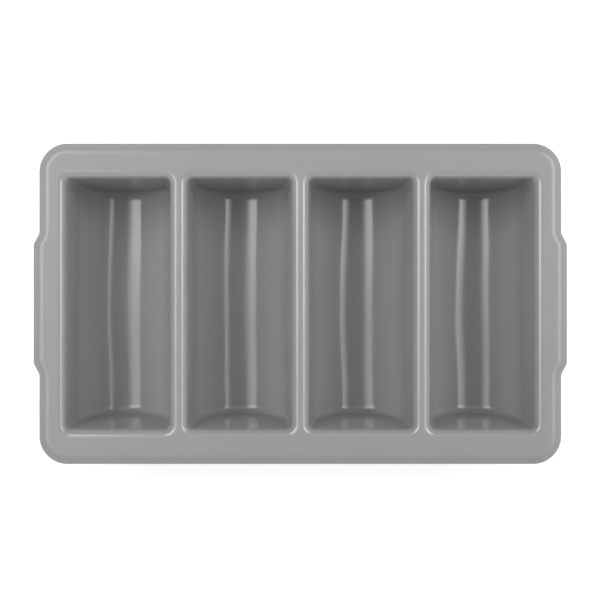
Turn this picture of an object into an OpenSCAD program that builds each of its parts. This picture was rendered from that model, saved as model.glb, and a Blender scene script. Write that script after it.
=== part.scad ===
// Four-compartment cutlery tray, moulded in one wall thickness.
// X runs along the row of compartments, Y along each compartment and Z up from the table.

/* [Tray] */
// Height from the table to the top of the deck
tray_height = 95; // [70:1:130]
// Thickness of the moulded wall
wall = 3; // [2:0.1:4]
// Height by which each round underside is cut flat to stand on
foot_cut = 0.5; // [0.2:0.1:1]

/* [Rim] */
// Deck between a compartment and the outer edge along the long sides
side_margin = 27.9; // [20:0.1:60]
// Deck between a compartment and the outer edge at the short ends
end_margin = 19.8; // [14:0.1:60]
// Plan radius of the tray's four corners
corner_radius = 28; // [18:1:45]
// Rounding from the deck into the skirt
edge_radius = 7; // [5:0.5:10]
// Drop of the turned-down skirt below the deck
skirt_drop = 18; // [12:1:30]

/* [Grips] */
// Straight length of the grip at each short end
grip_length = 119; // [60:1:150]
// Distance by which a grip stands out from the rim
grip_reach = 5.8; // [3:0.1:8]
// Length along the rim of a grip's slanted shoulder
grip_shoulder = 11; // [8:0.5:20]
// Plan radius that blends both ends of a shoulder
grip_blend = 8; // [4:1:12]
// Straight rim between a blended shoulder and the end of the grip's moulding
grip_lead = 6; // [2:1:15]

/* [Compartments] */
// Width of a compartment's mouth at deck level
mouth_width = 117.3; // [90:0.1:150]
// Length of a compartment's mouth at deck level
mouth_length = 264.2; // [200:0.1:320]
// Flat top of the divider between two compartments
divider_width = 4.1; // [3:0.1:20]
// Run across the deck of the rounding into a compartment
mouth_run = 7; // [5:0.1:10]
// Drop of that rounding below the deck
mouth_drop = 10; // [8:0.5:20]
// Draft of the side walls and end walls, in degrees
draft = 5; // [2:0.5:8]
// Fillet between an end wall and the side walls and floor
end_fillet = 5; // [4:0.5:12]

/* [Blank panel] */
// Length of the shallow blank panel in the back of the deck
panel_length = 66; // [30:1:120]
// Width of the panel
panel_width = 11; // [6:0.5:14]
// Deck between the panel and the mouths of the compartments
panel_gap = 4.7; // [2:0.1:7]
// Plan radius of the panel's corners
panel_radius = 2; // [1:0.5:3]
// Depth of the panel
panel_depth = 0.3; // [0.1:0.1:0.8]

/* [Hidden] */
compartments = 4;
plastic = "#9c9c9e";

// Steps along the curves
corner_steps = 8;
blend_steps = 3;
edge_steps = 6;
mouth_steps = 6;
floor_steps = 9;
end_steps = 16;

// Lowest row of the inner floor, in degrees below the centre of its arc
floor_end_angle = 86;

pitch = mouth_width + divider_width;
rim_length = compartments * mouth_width + (compartments - 1) * divider_width + 2 * end_margin;
rim_width = mouth_length + 2 * side_margin;

// A compartment's walls start below the rounding of its mouth
top_x = mouth_width / 2 - mouth_run;
top_y = mouth_length / 2 - mouth_run;
top_z = tray_height - mouth_drop;
floor_z = wall - foot_cut;

// The round floor touches both drafted side walls
floor_radius = (top_x * cos(draft) - (top_z - floor_z) * sin(draft)) / (1 - sin(draft));
floor_centre_z = floor_z + floor_radius;
foot_angle = asin(floor_centre_z / (floor_radius + wall));

// A grip's shoulder slants between two blends
shoulder_angle = atan(grip_reach / grip_shoulder);
blend_run = grip_blend * tan(shoulder_angle / 2);
shoulder_start = grip_length / 2 + grip_shoulder + blend_run;
shoulder_end = grip_length / 2 - blend_run;
grip_end = shoulder_start + grip_lead;

// Stations along an arc: each is a point and the outward direction there.
// A negative radius makes a hollow curve.
function arc(centre, radius, from, to, steps) = [
    for (i = [0 : steps])
        let (a = from + (to - from) * i / steps, out = [cos(a), sin(a)])
            [centre + radius * out, out]
];

// Stations along the front of the rim, from the left grip round both corners to the right grip
function front_stations() =
    let (x = rim_length / 2, y = rim_width / 2, r = corner_radius)
    concat(
        [[[-x, -grip_end], [-1, 0]]],
        arc([-x + r, -y + r], r, 180, 270, corner_steps),
        arc([x - r, -y + r], r, 270, 360, corner_steps),
        [[[x, -grip_end], [1, 0]]]
    );

// Stations along the right grip, from front to back
function grip_stations() =
    let (
        hollow_x = rim_length / 2 + grip_blend,
        full_x = rim_length / 2 + grip_reach - grip_blend
    )
    concat(
        [[[rim_length / 2, -grip_end], [1, 0]]],
        arc([hollow_x, -shoulder_start], -grip_blend, 0, -shoulder_angle, blend_steps),
        arc([full_x, -shoulder_end], grip_blend, -shoulder_angle, 0, blend_steps),
        arc([full_x, shoulder_end], grip_blend, 0, shoulder_angle, blend_steps),
        arc([hollow_x, shoulder_start], -grip_blend, shoulder_angle, 0, blend_steps),
        [[[rim_length / 2, grip_end], [1, 0]]]
    );

function inset_points(stations, inset) = [for (s = stations) s[0] - inset * s[1]];

// Section through the rounded edge and the skirt, as pairs of outer and inner points.
// The first value of a point is its distance inside the rim's outline.
function edge_section() = concat(
    [
        for (i = [0 : edge_steps])
            let (a = 90 - 90 * i / edge_steps, outer = edge_radius, inner = edge_radius - wall)
                [
                    [edge_radius - outer * cos(a), tray_height - edge_radius + outer * sin(a)],
                    [edge_radius - inner * cos(a), tray_height - edge_radius + inner * sin(a)]
                ]
    ],
    [[[0, tray_height - skirt_drop], [wall, tray_height - skirt_drop]]]
);

// How far a fillet of radius r pulls an end wall in, at distance s from the side wall or floor
function fillet_drop(s, r) = s < r ? r - sqrt(max(0, r * r - (r - s) * (r - s))) : 0;

// Distance inside the U-shaped section at height z, where that section is w wide to each side
function depth_in_section(x, z, w, radius) =
    z < floor_centre_z ? radius - norm([x, z - floor_centre_z]) : w - abs(x);

// One level round of a compartment: half-width w, half-length l, height z, fillet r
function level(w, l, z, r, radius) = [
    for (end = [1, -1])
        for (i = [0 : end_steps])
            let (x = end * w * cos(180 * i / end_steps))
                [x, end * (l - fillet_drop(depth_in_section(x, z, w, radius), r)), z]
];

// Levels over the rounded mouth, on the skin that lies out beyond the inside of the wall
function mouth_levels(out) = [
    for (i = [0 : mouth_steps])
        let (
            a = 90 - 90 * i / mouth_steps,
            flare = mouth_run - (mouth_run - out) * cos(a),
            rise = (mouth_drop - out) * sin(a)
        )
            level(top_x + flare, top_y + flare, top_z + rise, end_fillet + flare, floor_radius)
];

// Levels down the round floor, from where it meets the side walls to the angle named last
function floor_levels(out, last) = [
    for (i = [0 : floor_steps])
        let (
            a = -draft - (last - draft) * i / floor_steps,
            r = floor_radius + out,
            z = floor_centre_z + r * sin(a),
            l = top_y - (top_z - z) * tan(draft) + out / cos(draft)
        )
            level(r * cos(a), l, z, end_fillet + out, r)
];

function reversed(list) = [for (i = [len(list) - 1 : -1 : 0]) list[i]];

function mouth_outline() = [for (p = mouth_levels(0)[0]) [p[0], p[1]]];

function flat_list(lists) = [for (list = lists) for (item = list) item];

// Faces between rings that all have n points
function ring_faces(rings, n) = [
    for (k = [0 : rings - 2])
        for (i = [0 : n - 1])
            let (j = (i + 1) % n)
                [k * n + i, (k + 1) * n + i, (k + 1) * n + j, k * n + j]
];

// The rounded edge with its skirt, swept along stations of the rim's outline
module edge_strip(stations) {
    section = edge_section();
    pairs = len(section);
    n = 2 * pairs;
    loop = concat([for (p = section) p[0]], reversed([for (p = section) p[1]]));
    rings = [
        for (s = stations)
            [for (p = loop) [s[0][0] - p[0] * s[1][0], s[0][1] - p[0] * s[1][1], p[1]]]
    ];
    last = (len(rings) - 1) * n;
    start_cap = [for (i = [0 : pairs - 2]) [i, i + 1, n - 2 - i, n - 1 - i]];
    end_cap = [for (f = start_cap) [for (v = reversed(f)) last + v]];
    polyhedron(flat_list(rings), concat(ring_faces(len(rings), n), start_cap, end_cap));
}

function slot_x(i) = (i - (compartments + 1) / 2) * pitch;

module divider_plan(i) {
    straight = mouth_length - 2 * (end_fillet + mouth_run);
    translate([slot_x(i + 0.5), 0])
        square([divider_width, straight], center = true);
}

module panel_plan() {
    translate([0, (mouth_length + panel_width) / 2 + panel_gap]) {
        square([panel_length - 2 * panel_radius, panel_width], center = true);
        square([panel_length, panel_width - 2 * panel_radius], center = true);
        for (x = [-1, 1], y = [-1, 1])
            translate([x * (panel_length / 2 - panel_radius), y * (panel_width / 2 - panel_radius)])
                circle(panel_radius, $fn = 24);
    }
}

module deck_plan() {
    half = concat(
        inset_points(front_stations(), edge_radius),
        inset_points(grip_stations(), edge_radius)
    );
    difference() {
        polygon(concat(half, -half));
        for (i = [1 : compartments])
            translate([slot_x(i), 0])
                polygon(mouth_outline());
        for (i = [1 : compartments - 1])
            divider_plan(i);
    }
}

// Flat top sheet round the row of compartments, with the blank panel in its back
module deck() {
    color(plastic)
        difference() {
            translate([0, 0, tray_height - wall])
                linear_extrude(wall)
                    deck_plan();
            translate([0, 0, tray_height - panel_depth])
                linear_extrude(2 * panel_depth)
                    panel_plan();
        }
}

// Flat top of the ridge to the right of compartment i
module divider(i) {
    color(plastic)
        translate([0, 0, tray_height - wall])
            linear_extrude(wall)
                divider_plan(i);
}

// Rounded edge and skirt along the front, with both front corners
module front_edge() {
    color(plastic)
        edge_strip(front_stations());
}

module back_edge() {
    rotate(180)
        front_edge();
}

// Rounded edge and skirt that stand out at the right end, to lift the tray by
module right_grip() {
    color(plastic)
        edge_strip(grip_stations());
}

module left_grip() {
    rotate(180)
        right_grip();
}

// One U-shaped compartment with its rounded mouth, open at the top
module compartment(i) {
    inside = concat(mouth_levels(0), floor_levels(0, floor_end_angle));
    outside = concat(mouth_levels(wall), floor_levels(wall, foot_angle));
    rings = concat(reversed(inside), outside);
    n = len(rings[0]);
    last = (len(rings) - 1) * n;
    floor_face = [for (v = [0 : n - 1]) v];
    foot_face = [for (v = [n - 1 : -1 : 0]) last + v];
    color(plastic)
        translate([slot_x(i), 0, 0])
            polyhedron(flat_list(rings), concat(ring_faces(len(rings), n), [floor_face, foot_face]));
}

deck();
front_edge();
back_edge();
left_grip();
right_grip();
for (i = [1 : compartments - 1])
    divider(i);
for (i = [1 : compartments])
    compartment(i);
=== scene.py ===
import math

import bmesh
import bpy
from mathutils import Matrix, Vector, geometry, noise


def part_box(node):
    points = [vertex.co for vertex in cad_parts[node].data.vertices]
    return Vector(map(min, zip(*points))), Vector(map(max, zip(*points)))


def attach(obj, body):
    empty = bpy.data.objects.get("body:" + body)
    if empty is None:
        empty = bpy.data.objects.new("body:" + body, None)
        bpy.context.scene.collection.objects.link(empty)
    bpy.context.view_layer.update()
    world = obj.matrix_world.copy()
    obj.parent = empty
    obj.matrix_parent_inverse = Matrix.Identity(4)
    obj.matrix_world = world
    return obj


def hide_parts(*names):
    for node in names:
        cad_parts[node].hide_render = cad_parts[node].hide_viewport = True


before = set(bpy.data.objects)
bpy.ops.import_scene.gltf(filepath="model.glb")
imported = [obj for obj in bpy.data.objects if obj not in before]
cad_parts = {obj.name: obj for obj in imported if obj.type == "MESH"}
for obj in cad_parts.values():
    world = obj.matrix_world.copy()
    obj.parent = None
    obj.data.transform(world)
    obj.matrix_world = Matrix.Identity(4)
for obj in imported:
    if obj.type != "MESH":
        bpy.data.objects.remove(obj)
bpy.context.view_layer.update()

# Sizes read from the frame, in metres
COMPARTMENTS = [name for name in sorted(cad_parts) if name.startswith("compartment_")]
DIVIDERS = [name for name in sorted(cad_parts) if name.startswith("divider_")]

deck_low, deck_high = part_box("deck")
edge_low, edge_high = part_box("front_edge")
_, grip_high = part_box("right_grip")
mouth_low, mouth_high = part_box(COMPARTMENTS[0])
divider_low, divider_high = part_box(DIVIDERS[0])

TOP = deck_high.z
WALL = deck_high.z - deck_low.z
HALF_LENGTH = edge_high.x
HALF_WIDTH = -edge_low.y
SKIRT_BOTTOM = edge_low.z
EDGE_RADIUS = grip_high.x - deck_high.x
GRIP_REACH = grip_high.x - HALF_LENGTH
GRIP_END = grip_high.y
MOUTH_X = (mouth_high.x - mouth_low.x) / 2
MOUTH_Y = mouth_high.y
MOUTH_CORNER = MOUTH_Y - divider_high.y

# Sizes of the moulding that no box shows, as the solids have them
CORNER_RADIUS = 0.028
GRIP_LENGTH = 0.119
GRIP_SHOULDER = 0.011
GRIP_BLEND = 0.008
MOUTH_RUN = 0.007
MOUTH_DROP = 0.010
DRAFT = math.radians(5)
FOOT_CUT = 0.0005
PANEL_LENGTH = 0.066
PANEL_WIDTH = 0.011
PANEL_GAP = 0.0047
PANEL_RADIUS = 0.002

# Soft forms that only the finished surface has
CROWN_WIDTH = 0.0043
CROWN_SLOPE = math.radians(15)
CROWN_BASE = 0.0120
BAND_INSET = 0.0074
BAND_SLOPE = math.radians(26)
EDGE_ROUND = 0.0025
ROLL_DROP = 0.0090
END_DRAFT = math.radians(5.5)
FLOOR_FILLET = 0.0085
LIP_FLAT = 0.00025
PANEL_DEPTH = 0.0002
PANEL_SLOPE = 0.0015
FLOOR_BOW = 0.0018
BOW_LENGTH = 0.115
BOW_START = -0.030
BOW_RUN = 0.036
LEAN_RISE = 0.0006
LEAN_START = -0.008
LEAN_RUN = 0.038
FLOOR_UNEVEN = 0.00045
WAVES_ACROSS = 28
WAVES_ALONG = 14
WAVE_SEED = 7.3

# Finish, from the matte top to the burnished lips
TOP_ROUGHNESS = 0.30
LIP_ROUGHNESS = 0.067
TOP_SHINE = 0.10
LIP_SHINE = 0.83
WALL_POLISH = 0.5
FLOOR_POLISH = 0.75
FLOOR_POLISH_START = 0.4
SCUFF = 0.2
SCUFF_DEPTH = 0.025
POLISH_STEPS = 3
BURNISH_STEPS = 5
EDGE_POLISH = 0.3
CROWN_POLISH = 0.38
PLASTIC_COLOUR = (0.298, 0.298, 0.305, 1.0)
PLASTIC_IOR = 1.5
GRAIN_STRENGTH = 0.25
GRAIN_HEIGHT = 0.00002

# Steps along the curves
CORNER_STEPS = 24
BLEND_STEPS = 8
CROWN_STEPS = 6
EDGE_STEPS = 12
BAND_STEPS = 3
HEM_STEPS = 8
MOUTH_STEPS = 12
WALL_STEPS = 5
FLOOR_STEPS = 44
END_STEPS = 56
SIDE_STEPS = 44
PANEL_STEPS = 6

# Limits of the meshes
SHARP_ANGLE = math.radians(40)
MERGE_DISTANCE = 1e-5
FILL_TOLERANCE = 1e-7

# Floor and room, where a strength of 1 looks white
FLOOR_HALF_SIZE = 6.0
FLOOR_PAINT = (0.45, 0.45, 0.45, 1.0)
FLOOR_GLOW = 0.74
ROOM_LIGHT = 1.15
ROOM_LEAN = (0.45, -0.85, 0.0)
ROOM_FADE = (0.15, 0.42)
CEILING_LIGHT = 0.12

# A compartment's walls start below the roll of its mouth, and its round floor touches them
FILLET = MOUTH_CORNER - MOUTH_RUN
ROLL_GAIN = (MOUTH_DROP - ROLL_DROP) * math.tan(DRAFT)
TOP_X = MOUTH_X - MOUTH_RUN + ROLL_GAIN
TOP_Y = MOUTH_Y - MOUTH_RUN + ROLL_GAIN
TOP_Z = TOP - ROLL_DROP
ROLL_RUN = MOUTH_X + (divider_high.x - divider_low.x) / 2 - 2 * LIP_FLAT - TOP_X
LIP = ROLL_RUN + LIP_FLAT
FLOOR_Z = WALL - FOOT_CUT
DRAFT_LOSS = (TOP_Z - FLOOR_Z) * math.sin(DRAFT)
FLOOR_RADIUS = (TOP_X * math.cos(DRAFT) - DRAFT_LOSS) / (1 - math.sin(DRAFT))
FLOOR_CENTRE_Z = FLOOR_Z + FLOOR_RADIUS


def steps(first, last, count):
    """Values from first to last, both included."""
    return [first + (last - first) * i / count for i in range(count + 1)]


def ease(t):
    """A smooth step from 0 to 1."""
    t = min(max(t, 0.0), 1.0)
    return t * t * (3 - 2 * t)


# Meshes

def finish_mesh(name, bm):
    """Turns a bmesh into a smooth-shaded closed piece that rides on the tray."""
    bmesh.ops.recalc_face_normals(bm, faces=bm.faces)
    mesh = bpy.data.meshes.new(name)
    bm.to_mesh(mesh)
    bm.free()
    mesh.shade_smooth()
    mesh.set_sharp_from_angle(angle=SHARP_ANGLE)
    piece = bpy.data.objects.new(name, mesh)
    bpy.context.scene.collection.objects.link(piece)
    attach(piece, "root")
    return piece


def loop_of(bm, points):
    """A closed loop of vertices."""
    return [bm.verts.new(point) for point in points]


def band(bm, near, far):
    """Quads between two loops of vertices."""
    for i in range(len(near)):
        j = (i + 1) % len(near)
        bm.faces.new((near[i], far[i], far[j], near[j]))


def skin(bm, rings, polish):
    """Quads between rings of points. Each point has its polish, kept at its vertex."""
    layer = bm.verts.layers.float.new("polish")
    rows = [loop_of(bm, ring) for ring in rings]
    for row, values in zip(rows, polish):
        for vertex, value in zip(row, values):
            vertex[layer] = value
    for near, far in zip(rows, rows[1:]):
        band(bm, near, far)
    return rows


# Compartments

def fillet_drop(inside, radius):
    """How far a fillet pulls an end wall in, at a distance inside the side wall or floor."""
    if inside >= radius:
        return 0.0
    return radius - math.sqrt(max(0.0, radius ** 2 - (radius - inside) ** 2))


def level_ring(half_x, half_y, z, fillet, floor_radius):
    """Points round a compartment at one height."""

    def end_y(x):
        if z < FLOOR_CENTRE_Z:
            inside = floor_radius - math.hypot(x, z - FLOOR_CENTRE_Z)
        else:
            inside = half_x - abs(x)
        return half_y - fillet_drop(inside, fillet)

    ring = []
    for end in (1, -1):
        for turn in steps(0, math.pi, END_STEPS):
            x = end * half_x * math.cos(turn)
            ring.append(Vector((x, end * end_y(x), z)))
        side_y = end * end_y(half_x)
        for y in steps(side_y, -side_y, SIDE_STEPS)[1:-1]:
            ring.append(Vector((-end * half_x, y, z)))
    return ring


def skin_levels(out, floor_end):
    """Rings of one skin from mouth to floor, and their polish; out is 0 inside and WALL outside."""
    run = ROLL_RUN - out
    drop = ROLL_DROP - out
    floor_radius = FLOOR_RADIUS + out
    out_y = out / math.cos(END_DRAFT)
    levels = [(TOP_X + LIP, TOP_Y + LIP, TOP - out, FILLET + LIP, 0.0)]
    mouth_end = math.atan(math.tan(DRAFT) * drop / run)
    for i, turn in enumerate(steps(math.pi / 2, mouth_end, MOUTH_STEPS)):
        flare = ROLL_RUN - run * math.cos(turn)
        z = TOP_Z + drop * math.sin(turn)
        wear = ease((i - POLISH_STEPS) / BURNISH_STEPS)
        polish = ease(i / POLISH_STEPS) * (1 + (WALL_POLISH - 1) * wear)
        levels.append((TOP_X + flare, TOP_Y + flare, z, FILLET + flare, polish))
    floor = []
    for turn in steps(-DRAFT, floor_end, FLOOR_STEPS):
        z = FLOOR_CENTRE_Z + floor_radius * math.sin(turn)
        half_x = max(floor_radius * math.cos(turn), 0.0)
        half_y = TOP_Y - (TOP_Z - z) * math.tan(END_DRAFT) + out_y
        share = (turn + DRAFT) / (floor_end + DRAFT)
        fillet = FILLET + (FLOOR_FILLET - FILLET) * ease(share) + out
        polish = WALL_POLISH + (FLOOR_POLISH - WALL_POLISH) * ease(share / FLOOR_POLISH_START)
        floor.append((half_x, half_y, z, fillet, polish))
    wall_top = levels[-1]
    for share in steps(0, 1, WALL_STEPS)[1:-1]:
        levels.append(tuple(a + (b - a) * share for a, b in zip(wall_top, floor[0])))
    levels += floor
    rings = [level_ring(*level[:4], floor_radius) for level in levels]
    return rings, [level[4] for level in levels]


def near_middle(y):
    """1 in the middle of a floor's length, easing to 0 at its ends."""
    along = min(abs(y) / BOW_LENGTH, 1.0)
    return math.cos(along * math.pi / 2) ** 2


def uneven(point, seed):
    """Moves a point of the round floor as the moulded wall leans, bows and waves."""
    depth = ease((TOP_Z - point.z) / (TOP_Z - FLOOR_CENTRE_Z))
    axis = Vector((-point.x, 0.0, FLOOR_CENTRE_Z - point.z)).normalized()
    bow = FLOOR_BOW * near_middle(point.y) * ease((point.x - BOW_START) / BOW_RUN)
    lean = LEAN_RISE * ease((point.x - LEAN_START) / LEAN_RUN)
    place = Vector((point.x * WAVES_ACROSS, point.y * WAVES_ALONG, seed))
    wave = FLOOR_UNEVEN * noise.noise(place)
    return point + axis * depth * (bow + lean + wave)


def scuff(point):
    """Share of the polish that cutlery has worn off, most in the middle of the floor."""
    return SCUFF * near_middle(point.y) * ease((FLOOR_CENTRE_Z - point.z) / SCUFF_DEPTH)


def make_compartment(name, seed):
    """One U-shaped compartment as a closed shell with its rounded mouth."""
    low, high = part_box(name)
    centre = Vector(((low.x + high.x) / 2, 0.0, 0.0))
    foot = -math.asin(FLOOR_CENTRE_Z / (FLOOR_RADIUS + WALL))
    inner, inner_polish = skin_levels(0.0, -math.pi / 2)
    outer, outer_polish = skin_levels(WALL, foot)
    inner = [[uneven(point, seed) for point in ring] for ring in inner]
    rings = [[point + centre for point in ring] for ring in inner[::-1] + outer]
    polish = []
    for ring, value in zip(inner[::-1], inner_polish[::-1]):
        polish.append([value * (1 - scuff(point)) for point in ring])
    for ring, value in zip(outer, outer_polish):
        polish.append([value] * len(ring))
    bm = bmesh.new()
    rows = skin(bm, rings, polish)
    bm.faces.new(rows[-1])
    bmesh.ops.remove_doubles(bm, verts=rows[0], dist=MERGE_DISTANCE)
    piece = finish_mesh(name.replace("compartment", "trough"), bm)
    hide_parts(name)
    return piece


# Rim

def arc(centre, radius, first, last, count):
    """Stations along an arc: a point and the way out there. A negative radius curves inwards."""
    stations = []
    for turn in steps(first, last, count):
        out = Vector((math.cos(turn), math.sin(turn)))
        stations.append((Vector(centre) + radius * out, out))
    return stations


def with_base(station):
    """Adds the point of the flat deck from which the crown of the rim starts."""
    point, out = station
    return point, out, point - CROWN_BASE * out


def front_stations():
    """Stations along the front, from the left grip round both corners to the right grip."""
    x = HALF_LENGTH - CORNER_RADIUS
    y = -HALF_WIDTH + CORNER_RADIUS
    stations = [(Vector((-HALF_LENGTH, -GRIP_END)), Vector((-1, 0)))]
    stations += arc((-x, y), CORNER_RADIUS, math.pi, math.pi * 1.5, CORNER_STEPS)
    stations += arc((x, y), CORNER_RADIUS, math.pi * 1.5, math.pi * 2, CORNER_STEPS)
    stations.append((Vector((HALF_LENGTH, -GRIP_END)), Vector((1, 0))))
    return [with_base(station) for station in stations]


def grip_stations():
    """Stations along the right grip, from front to back. Its crown starts from the straight rim."""
    slant = math.atan(GRIP_REACH / GRIP_SHOULDER)
    blend_run = GRIP_BLEND * math.tan(slant / 2)
    start = GRIP_LENGTH / 2 + GRIP_SHOULDER + blend_run
    end = GRIP_LENGTH / 2 - blend_run
    hollow_x = HALF_LENGTH + GRIP_BLEND
    full_x = HALF_LENGTH + GRIP_REACH - GRIP_BLEND
    stations = [(Vector((HALF_LENGTH, -GRIP_END)), Vector((1, 0)))]
    stations += arc((hollow_x, -start), -GRIP_BLEND, 0, -slant, BLEND_STEPS)
    stations += arc((full_x, -end), GRIP_BLEND, -slant, 0, BLEND_STEPS)
    stations += arc((full_x, end), GRIP_BLEND, 0, slant, BLEND_STEPS)
    stations += arc((hollow_x, start), -GRIP_BLEND, slant, 0, BLEND_STEPS)
    stations.append((Vector((HALF_LENGTH, GRIP_END)), Vector((1, 0))))
    base_x = HALF_LENGTH - CROWN_BASE
    return [(point, out, Vector((base_x, point.y - BAND_INSET * out.y))) for point, out in stations]


def turned(stations):
    """The same stations at the other side of the tray."""
    return [(-point, -out, -base) for point, out, base in stations]


def edge_section():
    """Section of the rim as (inset, share of the crown, height, polish).

    It runs from the deck round the hem and back under the deck.
    """
    crown_drop = CROWN_WIDTH * math.tan(CROWN_SLOPE) / 2
    rows = []
    for share in steps(1, 0, CROWN_STEPS):
        z = TOP - crown_drop * (1 - share) ** 2
        rows.append((BAND_INSET, share, z, CROWN_POLISH * ease(2 - 2 * share)))
    first = math.pi / 2 - BAND_SLOPE
    band_end = EDGE_ROUND * (1 - math.cos(first))
    band_low = TOP - crown_drop - (BAND_INSET - band_end) * math.tan(BAND_SLOPE)
    for share in steps(0, 1, BAND_STEPS)[1:-1]:
        inset = BAND_INSET + (band_end - BAND_INSET) * share
        z = TOP - crown_drop - (BAND_INSET - inset) * math.tan(BAND_SLOPE)
        rows.append((inset, 0.0, z, CROWN_POLISH * (1 - share)))
    round_z = band_low - EDGE_ROUND * math.sin(first)
    for turn in steps(first, 0, EDGE_STEPS):
        inset = EDGE_ROUND * (1 - math.cos(turn))
        z = round_z + EDGE_ROUND * math.sin(turn)
        rows.append((inset, 0.0, z, EDGE_POLISH * math.sin(turn / first * math.pi)))
    hem = WALL / 2
    for turn in steps(0, math.pi, HEM_STEPS):
        z = SKIRT_BOTTOM + hem * (1 - math.sin(turn))
        rows.append((hem * (1 - math.cos(turn)), 0.0, z, EDGE_POLISH * math.sin(turn)))
    inner = EDGE_RADIUS - WALL
    for turn in steps(0, math.pi / 2, EDGE_STEPS):
        inset = EDGE_RADIUS - inner * math.cos(turn)
        rows.append((inset, 0.0, TOP - EDGE_RADIUS + inner * math.sin(turn), 0.0))
    return rows


def station_ring(station, section):
    """The section's points at one station, between the flat deck above and below."""
    point, out, base = station
    start = point - BAND_INSET * out
    crown = (base - start).normalized() * CROWN_WIDTH
    ring = [Vector((base.x, base.y, TOP))]
    for inset, share, z, _ in section:
        place = point - inset * out + share * crown
        ring.append(Vector((place.x, place.y, z)))
    ring.append(Vector((base.x, base.y, TOP - WALL)))
    return ring


def make_edge(name, node, stations):
    """A stretch of rounded rim with its skirt and hem, closed at both ends."""
    section = edge_section()
    rings = [station_ring(station, section) for station in stations]
    across = [0.0] + [polish for _, _, _, polish in section] + [0.0]
    bm = bmesh.new()
    rows = skin(bm, rings, [across] * len(rings))
    bm.faces.new(rows[0])
    bm.faces.new(rows[-1])
    piece = finish_mesh(name, bm)
    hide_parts(node)
    return piece


# Deck

def fill(bm, loops):
    """Triangles over the sheet inside the first loop. The other loops are round and stay open."""
    vertices = []
    owners = []
    edges = []
    for number, loop in enumerate(loops):
        first = len(vertices)
        count = len(loop)
        edges += [(first + i, first + (i + 1) % count) for i in range(count)]
        vertices += loop
        owners += [number] * count
    places = [vertex.co.xy for vertex in vertices]
    inside_outline = 1
    result = geometry.delaunay_2d_cdt(places, edges, [], inside_outline, FILL_TOLERANCE)
    _, _, faces, sources, _, _ = result
    for face in faces:
        corners = [sources[i][0] for i in face]
        touched = {owners[i] for i in corners}
        if len(touched) > 1 or 0 in touched:
            bm.faces.new([vertices[i] for i in corners])


def panel_loop(inset, z):
    """Outline of the blank panel in the back of the deck, drawn in by inset."""
    half_x = PANEL_LENGTH / 2 - PANEL_RADIUS
    half_y = PANEL_WIDTH / 2 - PANEL_RADIUS
    middle_y = MOUTH_Y + PANEL_GAP + PANEL_WIDTH / 2
    radius = PANEL_RADIUS - inset
    points = []
    for quarter, (side_x, side_y) in enumerate(((1, 1), (-1, 1), (-1, -1), (1, -1))):
        centre = (side_x * half_x, middle_y + side_y * half_y)
        first = quarter * math.pi / 2
        for place, _ in arc(centre, radius, first, first + math.pi / 2, PANEL_STEPS):
            points.append(Vector((place.x, place.y, z)))
    return points


def make_deck(outline):
    """The flat sheet with a window for each compartment and the shallow blank panel."""
    bm = bmesh.new()
    bm.verts.layers.float.new("polish")
    window = level_ring(TOP_X + LIP, TOP_Y + LIP, TOP, FILLET + LIP, FLOOR_RADIUS)
    loops = [[Vector((place.x, place.y, TOP)) for place in outline]]
    for name in COMPARTMENTS:
        low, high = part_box(name)
        middle = Vector(((low.x + high.x) / 2, 0.0, 0.0))
        loops.append([point + middle for point in window])
    drop = Vector((0.0, 0.0, WALL))
    upper = [loop_of(bm, loop) for loop in loops]
    lower = [loop_of(bm, [point - drop for point in loop]) for loop in loops]
    for high, low in zip(upper, lower):
        band(bm, high, low)
    rim = loop_of(bm, panel_loop(0.0, TOP))
    fill(bm, upper + [rim])
    fill(bm, lower)
    for share in steps(0, 1, PANEL_STEPS)[1:]:
        nearer = loop_of(bm, panel_loop(share * PANEL_SLOPE, TOP - PANEL_DEPTH * ease(share)))
        band(bm, rim, nearer)
        rim = nearer
    bm.faces.new(rim)
    piece = finish_mesh("deck_sheet", bm)
    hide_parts("deck", *DIVIDERS)
    return piece


# Material

def add_node(tree, kind, inputs=None, **settings):
    """Adds a shader node with its settings. Each input is a plain value, or a socket to link."""
    node = tree.nodes.new(kind)
    for key, value in settings.items():
        setattr(node, key, value)
    for key, value in (inputs or {}).items():
        if isinstance(value, bpy.types.NodeSocket):
            tree.links.new(value, node.inputs[key])
        else:
            node.inputs[key].default_value = value
    return node


def map_range(tree, value, source, target=(0.0, 1.0), **settings):
    """Maps a value from one range to another."""
    inputs = {"Value": value, "From Min": source[0], "From Max": source[1]}
    inputs.update({"To Min": target[0], "To Max": target[1]})
    return add_node(tree, "ShaderNodeMapRange", inputs, **settings).outputs["Result"]


def combine(tree, operation, *values):
    """Does sums with values or sockets."""
    node = add_node(tree, "ShaderNodeMath", dict(enumerate(values)), operation=operation)
    return node.outputs["Value"]


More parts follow.
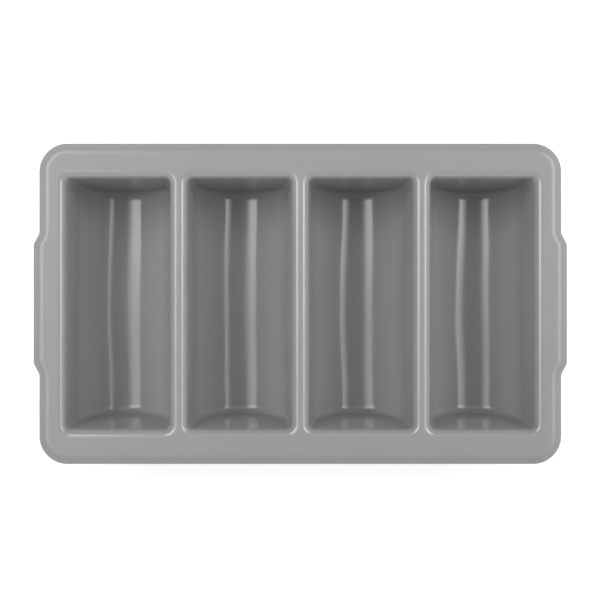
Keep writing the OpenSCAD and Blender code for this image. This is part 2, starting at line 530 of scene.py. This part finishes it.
def moulded_plastic():
    """Grey moulded polyethylene: faint mottling and fine grain, matte on top and polished inside."""
    material = bpy.data.materials.new("grey_moulded_plastic")
    material.use_nodes = True
    tree = material.node_tree
    place = add_node(tree, "ShaderNodeTexCoord").outputs["Object"]

    def texture(scale, detail):
        inputs = {"Vector": place, "Scale": scale, "Detail": detail}
        return add_node(tree, "ShaderNodeTexNoise", inputs).outputs["Fac"]

    def varied(value, low, high):
        middle_of_noise = (0.3, 0.7)
        return map_range(tree, value, middle_of_noise, (low, high))

    mottle = varied(texture(scale=14, detail=3), 0.985, 1.015)
    speckle = varied(texture(scale=1100, detail=2), 0.985, 1.015)
    smears = varied(texture(scale=35, detail=4), 0.92, 1.10)
    grain = texture(scale=1600, detail=2)
    polish = add_node(tree, "ShaderNodeAttribute", attribute_name="polish").outputs["Fac"]

    shade = combine(tree, "MULTIPLY", mottle, speckle)
    tint_inputs = {"Factor": 1.0, "A": PLASTIC_COLOUR, "B": shade}
    tint = add_node(tree, "ShaderNodeMix", tint_inputs, data_type="RGBA", blend_type="MULTIPLY")
    finish = map_range(tree, polish, (0.0, 1.0), (TOP_ROUGHNESS, LIP_ROUGHNESS))
    shine = map_range(tree, polish, (0.0, 1.0), (TOP_SHINE, LIP_SHINE))
    bump_inputs = {"Strength": GRAIN_STRENGTH, "Distance": GRAIN_HEIGHT, "Height": grain}
    bump = add_node(tree, "ShaderNodeBump", bump_inputs)

    shader = tree.nodes["Principled BSDF"]
    shader.inputs["IOR"].default_value = PLASTIC_IOR
    tree.links.new(tint.outputs["Result"], shader.inputs["Base Color"])
    tree.links.new(combine(tree, "MULTIPLY", finish, smears), shader.inputs["Roughness"])
    tree.links.new(shine, shader.inputs["Specular IOR Level"])
    tree.links.new(bump.outputs["Normal"], shader.inputs["Normal"])
    return material


# Stage

def background_ray(tree):
    """1 for rays that see the background: straight, in a reflection or through glass."""
    path = add_node(tree, "ShaderNodeLightPath")
    seen = path.outputs["Is Camera Ray"]
    for name in ("Is Glossy Ray", "Is Transmission Ray"):
        seen = combine(tree, "MAXIMUM", seen, path.outputs[name])
    return seen


def make_floor():
    """A wide white floor that keeps a faint shadow."""
    size = FLOOR_HALF_SIZE
    mesh = bpy.data.meshes.new("floor")
    corners = [(-size, -size, 0), (size, -size, 0), (size, size, 0), (-size, size, 0)]
    mesh.from_pydata(corners, [], [(0, 1, 2, 3)])
    floor = bpy.data.objects.new("floor", mesh)
    bpy.context.scene.collection.objects.link(floor)
    material = bpy.data.materials.new("floor_white")
    material.use_nodes = True
    tree = material.node_tree
    tree.nodes.clear()
    paint = add_node(tree, "ShaderNodeBsdfDiffuse", {"Color": FLOOR_PAINT}).outputs["BSDF"]
    glow = add_node(tree, "ShaderNodeEmission", {"Strength": FLOOR_GLOW}).outputs["Emission"]
    both = add_node(tree, "ShaderNodeAddShader", {0: paint, 1: glow}).outputs["Shader"]
    choice_inputs = {"Fac": background_ray(tree), 1: paint, 2: both}
    choice = add_node(tree, "ShaderNodeMixShader", choice_inputs).outputs["Shader"]
    add_node(tree, "ShaderNodeOutputMaterial", {"Surface": choice})
    mesh.materials.append(material)


def make_world():
    """A studio with a dim ceiling and white walls, brightest in front and at the right."""
    world = bpy.data.worlds.new("studio")
    bpy.context.scene.world = world
    world.use_nodes = True
    tree = world.node_tree
    place = add_node(tree, "ShaderNodeTexCoord").outputs["Generated"]
    height = add_node(tree, "ShaderNodeSeparateXYZ", {"Vector": place}).outputs["Z"]
    lean = add_node(tree, "ShaderNodeVectorMath", {0: place, 1: ROOM_LEAN}, operation="DOT_PRODUCT")
    wall = combine(tree, "MULTIPLY_ADD", lean.outputs["Value"], ROOM_LIGHT, ROOM_LIGHT)
    levels = (wall, CEILING_LIGHT)
    strength = map_range(tree, height, ROOM_FADE, levels, interpolation_type="SMOOTHSTEP")
    background = tree.nodes["Background"]
    background.inputs["Color"].default_value = (1.0, 1.0, 1.0, 1.0)
    tree.links.new(strength, background.inputs["Strength"])


def make_softbox(name, x_range, y_range, height, brightness, x_growth, y_growth):
    """A rectangular softbox that faces straight down.

    Along x and y it grows to its brightness, from the place where it would be dark to the place
    where it is full.
    """
    data = bpy.data.lights.new(name, "AREA")
    data.shape = "RECTANGLE"
    data.size = x_range[1] - x_range[0]
    data.size_y = y_range[1] - y_range[0]
    data.energy = math.pi * data.size * data.size_y * brightness
    data.use_nodes = True
    tree = data.node_tree
    place = add_node(tree, "ShaderNodeNewGeometry").outputs["Parametric"]
    split = add_node(tree, "ShaderNodeSeparateXYZ", {"Vector": place})

    def grown(axis, span, growth):
        low, high = span
        return map_range(tree, split.outputs[axis], [(at - low) / (high - low) for at in growth])

    across = grown("X", x_range, x_growth)
    along = grown("Y", y_range, y_growth)
    strength = combine(tree, "MULTIPLY", across, along)
    tree.links.new(strength, tree.nodes["Emission"].inputs["Strength"])
    light = bpy.data.objects.new(name, data)
    light.location = (sum(x_range) / 2, sum(y_range) / 2, height)
    bpy.context.scene.collection.objects.link(light)


def make_camera():
    """Looks straight down from above the middle of the photograph's frame."""
    frame_pixels = 600
    millimetres_per_pixel = 0.9942
    distance = 1.184
    centre_x = -0.0003
    centre_y = 0.00385
    camera_y = 0.0140
    data = bpy.data.cameras.new("camera")
    data.sensor_width = 36.0
    seen_width = frame_pixels * millimetres_per_pixel / 1000
    data.lens = data.sensor_width * distance / seen_width
    data.shift_y = (centre_y - camera_y) / seen_width
    camera = bpy.data.objects.new("camera", data)
    camera.location = (centre_x, camera_y, TOP + distance)
    bpy.context.scene.collection.objects.link(camera)
    bpy.context.scene.camera = camera


make_camera()

# Pieces of the tray
front = front_stations()
right = grip_stations()
back = turned(front)
left = turned(right)

pieces = [
    make_edge("front_rim", "front_edge", front),
    make_edge("right_grip_rim", "right_grip", right),
    make_edge("back_rim", "back_edge", back),
    make_edge("left_grip_rim", "left_grip", left),
]
outline = []
for stations in (front, right, back, left):
    outline += [base for _, _, base in stations[:-1]]
pieces.append(make_deck(outline))
for number, name in enumerate(COMPARTMENTS, 1):
    pieces.append(make_compartment(name, number * WAVE_SEED))

plastic = moulded_plastic()
for piece in pieces:
    piece.data.materials.append(plastic)

# Floor, room and softboxes
make_floor()
make_world()
make_softbox(
    "left_softbox",
    x_range=(-1.65, -0.26),
    y_range=(-0.65, 1.10),
    height=1.28,
    brightness=4.75,
    x_growth=(-0.26, -0.60),
    y_growth=(-0.80, 0.20),
)
make_softbox(
    "right_softbox",
    x_range=(0.52, 1.80),
    y_range=(-0.65, 1.10),
    height=1.25,
    brightness=5.4,
    x_growth=(0.52, 0.94),
    y_growth=(-0.80, 0.20),
)
make_softbox(
    "back_softbox",
    x_range=(-0.30, 0.50),
    y_range=(0.35, 1.00),
    height=1.28,
    brightness=0.8,
    x_growth=(-0.50, -0.30),
    y_growth=(0.20, 0.50),
)

bpy.context.scene.view_settings.view_transform = "Standard"
